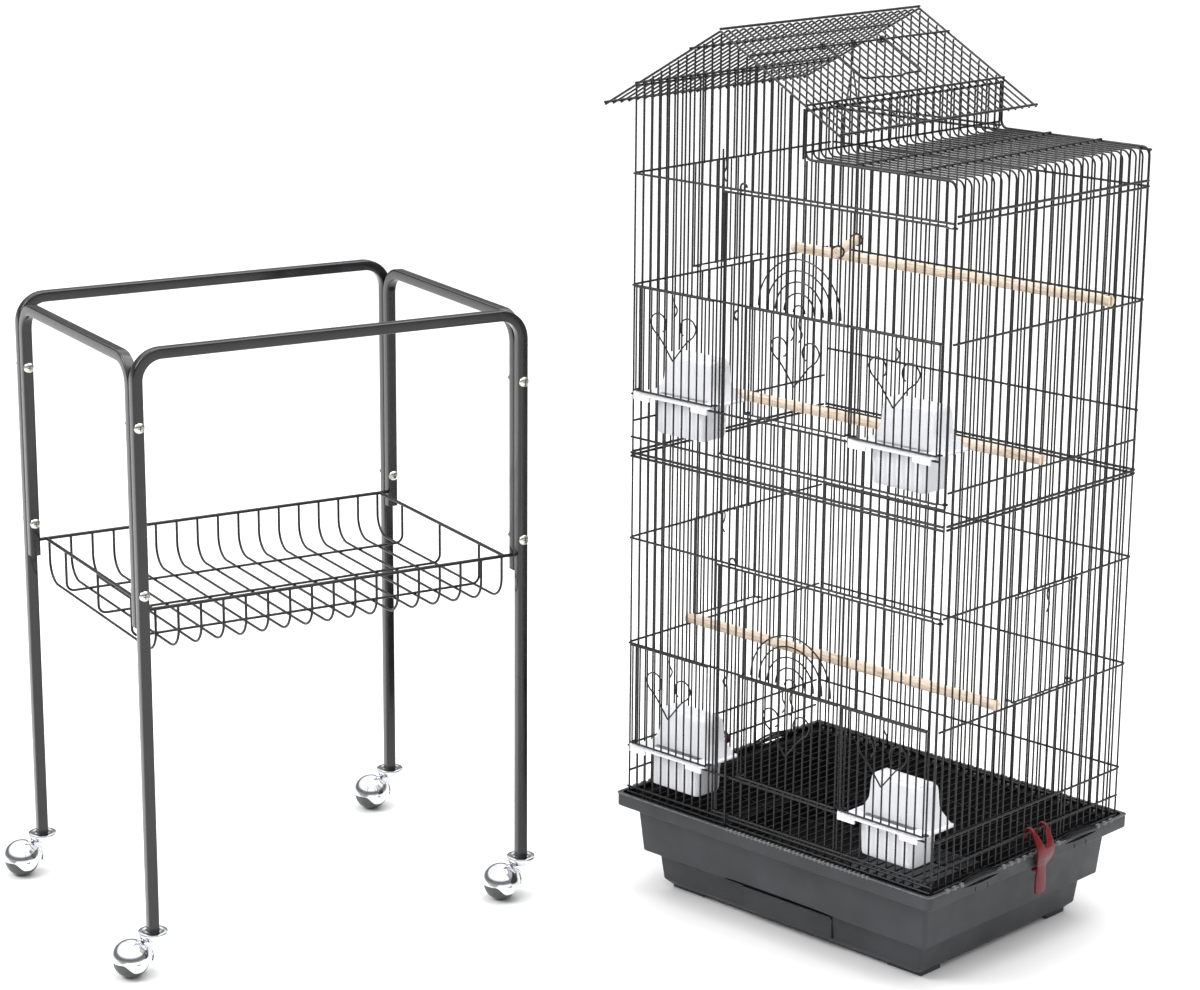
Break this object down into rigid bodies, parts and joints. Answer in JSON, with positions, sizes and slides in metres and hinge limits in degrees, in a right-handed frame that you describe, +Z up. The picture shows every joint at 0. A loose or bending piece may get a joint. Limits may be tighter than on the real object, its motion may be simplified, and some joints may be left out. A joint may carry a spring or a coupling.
{
  "type": "bird cage with rolling stand",
  "caption": "Two-tier black wire bird cage with a gabled roof, sliding and hinged doors and feeder cups, beside its rolling tube stand with a wire basket.",
  "frame": {"origin": "middle of the footprint of cage and stand together, on the floor", "axes": "+Z up, the door side of the cage faces -Y, the stand is towards -X and -Y"},
  "size_m": [1.0018, 0.9368, 1.0027],
  "materials": {
    "black_wire": "gloss",
    "black_tube": "gloss",
    "basket_wire": "satin",
    "bolt_nickel": "satin",
    "nut_dark": "satin",
    "caster_chrome": "polished",
    "caster_ball": "satin",
    "tray_plastic": "matt",
    "white_plastic": "satin",
    "red_plastic": "satin",
    "beech": "plain",
    "dark_beech": "plain"
  },
  "bodies": {
    "stand": {"front_leg_frame": "black_tube", "back_leg_frame": "black_tube", "left_end_frame": "black_tube", "right_end_frame": "black_tube", "basket_floor": "basket_wire", "basket_long_sides": "basket_wire", "basket_short_sides": "basket_wire", "frame_bolts": "bolt_nickel", "frame_nuts": "nut_dark", "caster_mounts": "caster_chrome"},
    "caster_1": {"caster_hood_1": "caster_chrome"},
    "ball_1": {"caster_ball_1": "caster_ball"},
    "caster_2": {"caster_hood_2": "caster_chrome"},
    "ball_2": {"caster_ball_2": "caster_ball"},
    "caster_3": {"caster_hood_3": "caster_chrome"},
    "ball_3": {"caster_ball_3": "caster_ball"},
    "caster_4": {"caster_hood_4": "caster_chrome"},
    "ball_4": {"caster_ball_4": "caster_ball"},
    "cage": {"base_tray": "tray_plastic", "tray_grate": "black_wire", "lower_front_panel": "black_wire", "lower_back_panel": "black_wire", "lower_left_panel": "black_wire", "lower_right_panel": "black_wire", "upper_front_panel": "black_wire", "upper_back_panel": "black_wire", "upper_left_panel": "black_wire", "upper_right_panel": "black_wire", "front_gable": "black_wire", "back_gable": "black_wire", "roof_left_slope": "black_wire", "roof_right_slope": "black_wire", "top_deck": "black_wire", "step_wall": "black_wire", "hinge_posts": "black_wire", "perches": "beech", "lower_left_cup": "white_plastic", "upper_left_cup": "white_plastic"},
    "drawer": {"floor_drawer": "tray_plastic"},
    "lower_door": {"lower_main_door": "black_wire", "lower_right_cup": "white_plastic"},
    "lower_latch": {"lower_latch_rod": "black_wire"},
    "lower_mid_slide": {"lower_mid_door": "black_wire"},
    "lower_right_slide": {"lower_right_feed_door": "black_wire"},
    "lower_left_slide": {"lower_left_feed_door": "black_wire"},
    "upper_door": {"upper_main_door": "black_wire", "upper_right_cup": "white_plastic"},
    "upper_latch": {"upper_latch_rod": "black_wire"},
    "upper_mid_slide": {"upper_mid_door": "black_wire"},
    "upper_right_slide": {"upper_right_feed_door": "black_wire"},
    "upper_left_slide": {"upper_left_feed_door": "black_wire"},
    "lower_left_nest": {"lower_left_nest_door": "black_wire"},
    "lower_right_nest": {"lower_right_nest_door": "black_wire"},
    "upper_left_nest": {"upper_left_nest_door": "black_wire"},
    "handle": {"carry_handle": "black_wire"},
    "swing": {"swing_wires": "black_wire", "swing_perch": "dark_beech"},
    "left_clip_body": {"left_clip": "red_plastic"},
    "right_clip_body": {"right_clip": "red_plastic"}
  },
  "joints": [
    {"name": "cage_lift", "type": "slide", "parent": "stand", "child": "cage", "axis": [0, 0, 1], "range_m": [0, 0.72]},
    {"name": "caster_swivel_1", "type": "hinge", "parent": "stand", "child": "caster_1", "pos_m": [-0.14645, -0.42079, 0.06], "axis": [0, 0, 1], "continuous": true},
    {"name": "ball_roll_1", "type": "hinge", "parent": "caster_1", "child": "ball_1", "pos_m": [-0.15348, -0.44582, 0.02], "axis": [-0.9627, 0.2706, 0], "continuous": true},
    {"name": "caster_swivel_2", "type": "hinge", "parent": "stand", "child": "caster_2", "pos_m": [-0.47087, -0.32959, 0.06], "axis": [0, 0, 1], "continuous": true},
    {"name": "ball_roll_2", "type": "hinge", "parent": "caster_2", "child": "ball_2", "pos_m": [-0.47791, -0.35462, 0.02], "axis": [-0.9627, 0.2706, 0], "continuous": true},
    {"name": "caster_swivel_3", "type": "hinge", "parent": "stand", "child": "caster_3", "pos_m": [-0.02386, 0.01531, 0.06], "axis": [0, 0, 1], "continuous": true},
    {"name": "ball_roll_3", "type": "hinge", "parent": "caster_3", "child": "ball_3", "pos_m": [-0.0309, -0.00972, 0.02], "axis": [-0.9627, 0.2706, 0], "continuous": true},
    {"name": "caster_swivel_4", "type": "hinge", "parent": "stand", "child": "caster_4", "pos_m": [-0.34829, 0.10651, 0.06], "axis": [0, 0, 1], "continuous": true},
    {"name": "ball_roll_4", "type": "hinge", "parent": "caster_4", "child": "ball_4", "pos_m": [-0.35533, 0.08148, 0.02], "axis": [-0.9627, 0.2706, 0], "continuous": true},
    {"name": "drawer_slide", "type": "slide", "parent": "cage", "child": "drawer", "axis": [0, -1, 0], "range_m": [0, 0.2]},
    {"name": "upper_door_hinge", "type": "hinge", "parent": "cage", "child": "upper_door", "pos_m": [0.48763, 0.12036, 0.687], "axis": [0, 0, 1], "range_deg": [0, 110]},
    {"name": "upper_latch_lift", "type": "slide", "parent": "upper_door", "child": "upper_latch", "axis": [0, 0, 1], "range_m": [0, 0.012]},
    {"name": "upper_mid_door_lift", "type": "slide", "parent": "upper_door", "child": "upper_mid_slide", "axis": [0, 0, 1], "range_m": [0, 0.105]},
    {"name": "upper_right_feed_door_lift", "type": "slide", "parent": "upper_door", "child": "upper_right_slide", "axis": [0, 0, 1], "range_m": [0, 0.105]},
    {"name": "upper_left_feed_door_lift", "type": "slide", "parent": "cage", "child": "upper_left_slide", "axis": [0, 0, 1], "range_m": [0, 0.105]},
    {"name": "lower_door_hinge", "type": "hinge", "parent": "cage", "child": "lower_door", "pos_m": [0.48763, 0.12036, 0.2734], "axis": [0, 0, 1], "range_deg": [0, 110]},
    {"name": "lower_latch_lift", "type": "slide", "parent": "lower_door", "child": "lower_latch", "axis": [0, 0, 1], "range_m": [0, 0.012]},
    {"name": "lower_mid_door_lift", "type": "slide", "parent": "lower_door", "child": "lower_mid_slide", "axis": [0, 0, 1], "range_m": [0, 0.105]},
    {"name": "lower_right_feed_door_lift", "type": "slide", "parent": "lower_door", "child": "lower_right_slide", "axis": [0, 0, 1], "range_m": [0, 0.105]},
    {"name": "lower_left_feed_door_lift", "type": "slide", "parent": "cage", "child": "lower_left_slide", "axis": [0, 0, 1], "range_m": [0, 0.105]},
    {"name": "lower_left_nest_door_lift", "type": "slide", "parent": "cage", "child": "lower_left_nest", "axis": [0, 0, 1], "range_m": [0, 0.105]},
    {"name": "lower_right_nest_door_lift", "type": "slide", "parent": "cage", "child": "lower_right_nest", "axis": [0, 0, 1], "range_m": [0, 0.105]},
    {"name": "upper_left_nest_door_lift", "type": "slide", "parent": "cage", "child": "upper_left_nest", "axis": [0, 0, 1], "range_m": [0, 0.087]},
    {"name": "handle_hinge", "type": "hinge", "parent": "cage", "child": "handle", "pos_m": [0.21166, 0.28786, 0.97791], "axis": [0, -1, 0], "range_deg": [0, 150]},
    {"name": "swing_hinge", "type": "hinge", "parent": "cage", "child": "swing", "pos_m": [0.21166, 0.28786, 0.97791], "axis": [0, 1, 0], "range_deg": [-20, 20]},
    {"name": "left_clip_hinge", "type": "hinge", "parent": "cage", "child": "left_clip_body", "pos_m": [0.04553, 0.27546, 0.1424], "axis": [0, 1, 0], "range_deg": [0, 60]},
    {"name": "right_clip_hinge", "type": "hinge", "parent": "cage", "child": "right_clip_body", "pos_m": [0.48973, 0.30026, 0.1424], "axis": [0, -1, 0], "range_deg": [0, 60]}
  ]
}
